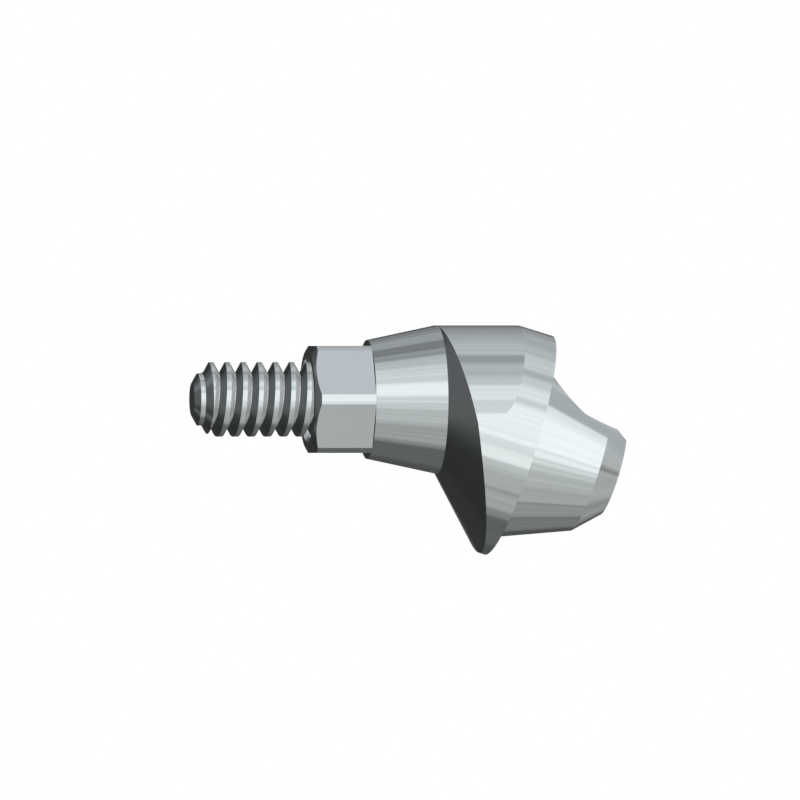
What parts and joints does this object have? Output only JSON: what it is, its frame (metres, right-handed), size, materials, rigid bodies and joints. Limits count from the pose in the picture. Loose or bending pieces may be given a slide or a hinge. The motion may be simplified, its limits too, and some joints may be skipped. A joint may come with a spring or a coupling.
{
  "type": "angled dental abutment",
  "caption": "Angled multi-unit implant abutment: hex-keyed conical seat, relieved collar and tapered screw-retained head, with the abutment screw that turns in it.",
  "frame": {"origin": "on the implant axis, in the plane where the conical seat ends, level with the top of the implant", "axes": "+Z along the implant axis, towards the mouth; +X towards the side the head leans to; the part is symmetric about the XZ plane, apart from the screw's helix"},
  "size_m": [0.0049, 0.005, 0.0094],
  "materials": {
    "titanium_turned": "fine turned titanium",
    "titanium_screw": "thread-cut titanium"
  },
  "bodies": {
    "abutment": {"abutment_body": "titanium_turned"},
    "screw": {"abutment_screw": "titanium_screw"}
  },
  "joints": [
    {"name": "screw_spin", "type": "hinge", "parent": "abutment", "child": "screw", "pos_m": [0, 0, -0.0006], "axis": [0, 0, 1], "continuous": true}
  ]
}
